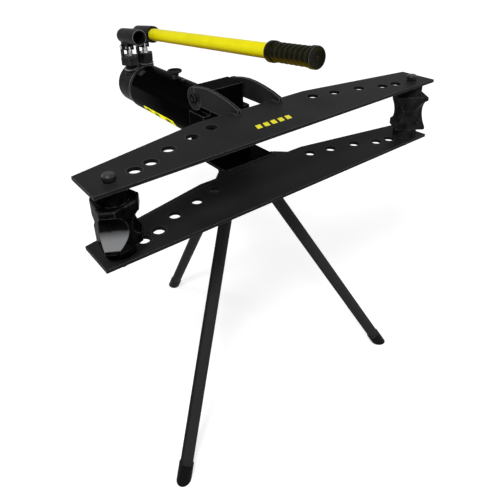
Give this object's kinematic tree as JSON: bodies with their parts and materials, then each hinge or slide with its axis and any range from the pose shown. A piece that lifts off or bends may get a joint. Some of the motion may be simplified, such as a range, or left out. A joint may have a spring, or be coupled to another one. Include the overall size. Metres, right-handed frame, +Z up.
{
  "type": "hydraulic pipe bender",
  "caption": "Hand-pumped hydraulic pipe bender: two drilled wing plates with pivot shoes, a ram and oil tank behind them, a lever pump with a yellow handle, and a tripod.",
  "frame": {"origin": "on the floor, in the middle of the machine's bounding box", "axes": "+X to the right along the wings, +Y to the rear along the oil tank, +Z up; the wings are at the front, towards -Y"},
  "size_m": [0.7717, 0.6478, 0.8371],
  "materials": {
    "dark_paint": "satin",
    "gloss_paint": "gloss",
    "shoe_paint": "painted, glossy",
    "lever_paint": "satin",
    "yellow_paint": "gloss",
    "rubber": "matte",
    "seal": "matte",
    "dark_steel": "blackened",
    "steel": "machined",
    "chrome": "ground"
  },
  "bodies": {
    "frame": {"lower_wing": "dark_paint", "base_tongue": "dark_paint", "upper_wing": "dark_paint", "hinge_arm_left": "dark_paint", "hinge_arm_right": "dark_paint", "hinge_bolts": "dark_steel", "hinge_washers": "steel", "frame_block": "gloss_paint", "gland_nut": "steel", "ram_seal": "seal", "wiper_ring": "seal", "cylinder_tube": "steel", "return_spring": "steel", "spring_anchor": "steel", "oil_tank": "gloss_paint", "filler_neck": "gloss_paint", "vent_plug": "dark_steel", "head_gasket": "seal", "pump_head": "gloss_paint", "tie_rods": "dark_steel", "check_balls": "chrome", "valve_springs": "steel", "valve_plugs": "dark_steel", "relief_plug": "dark_steel", "near_pump_body": "lever_paint", "far_pump_body": "lever_paint", "plunger_seals": "seal", "near_links": "lever_paint", "far_links": "lever_paint", "link_pins": "steel", "fulcrum_pins": "steel", "tripod_hub": "dark_paint", "leg_left": "dark_paint", "leg_right": "dark_paint", "leg_rear": "dark_paint", "foot_left": "rubber", "foot_right": "rubber", "foot_rear": "rubber"},
    "left_pin": {"roller_pin_left": "dark_steel"},
    "right_pin": {"roller_pin_right": "dark_steel"},
    "left_shoe": {"pivot_shoe_left": "shoe_paint"},
    "right_shoe": {"pivot_shoe_right": "shoe_paint"},
    "ram": {"ram": "chrome", "ram_piston": "steel", "piston_ring": "seal"},
    "near_lever": {"near_lever": "lever_paint"},
    "far_lever": {"far_lever": "lever_paint"},
    "near_plunger": {"near_plunger": "chrome", "near_plunger_pin": "steel"},
    "far_plunger": {"far_plunger": "chrome", "far_plunger_pin": "steel"},
    "handle": {"handle_tube": "yellow_paint", "handle_grip": "rubber"},
    "release_valve": {"release_valve": "dark_steel"},
    "filler_cap": {"filler_cap": "gloss_paint"}
  },
  "joints": [
    {"name": "left_pin_pull", "type": "slide", "parent": "frame", "child": "left_pin", "axis": [0, 0, 1], "range_m": [0, 0.15]},
    {"name": "left_shoe_turn", "type": "hinge", "parent": "frame", "child": "left_shoe", "pos_m": [-0.348, -0.27008, 0.6315], "axis": [0, 0, 1], "continuous": true},
    {"name": "right_pin_pull", "type": "slide", "parent": "frame", "child": "right_pin", "axis": [0, 0, 1], "range_m": [0, 0.15]},
    {"name": "right_shoe_turn", "type": "hinge", "parent": "frame", "child": "right_shoe", "pos_m": [0.348, -0.27008, 0.6315], "axis": [0, 0, 1], "continuous": true},
    {"name": "ram_stroke", "type": "slide", "parent": "frame", "child": "ram", "axis": [0, -1, 0], "range_m": [0, 0.235]},
    {"name": "near_pump_stroke", "type": "hinge", "parent": "frame", "child": "near_lever", "pos_m": [-0.0275, 0.30492, 0.7345], "axis": [-1, 0, 0], "range_deg": [-4, 40]},
    {"name": "near_plunger_stroke", "type": "slide", "parent": "frame", "child": "near_plunger", "axis": [0, 0, 1], "range_m": [-0.00121, 0.0119]},
    {"name": "far_pump_stroke", "type": "hinge", "parent": "frame", "child": "far_lever", "pos_m": [0.0155, 0.30492, 0.7345], "axis": [-1, 0, 0], "range_deg": [-4, 40]},
    {"name": "far_plunger_stroke", "type": "slide", "parent": "frame", "child": "far_plunger", "axis": [0, 0, 1], "range_m": [-0.00121, 0.0119]},
    {"name": "handle_pull", "type": "slide", "parent": "far_lever", "child": "handle", "axis": [0, -0.9959, 0.0906], "range_m": [0, 0.07]},
    {"name": "release_turn", "type": "hinge", "parent": "frame", "child": "release_valve", "pos_m": [0.052, 0.30692, 0.62], "axis": [1, 0, 0], "range_deg": [0, 270]},
    {"name": "filler_cap_turn", "type": "hinge", "parent": "frame", "child": "filler_cap", "pos_m": [0, 0.11692, 0.698], "axis": [0, 0, 1], "continuous": true}
  ],
  "couplings": [
    {"joint": "near_plunger_stroke", "follows": "near_pump_stroke", "m_per_rad": 0.017},
    {"joint": "far_plunger_stroke", "follows": "far_pump_stroke", "m_per_rad": 0.017}
  ]
}
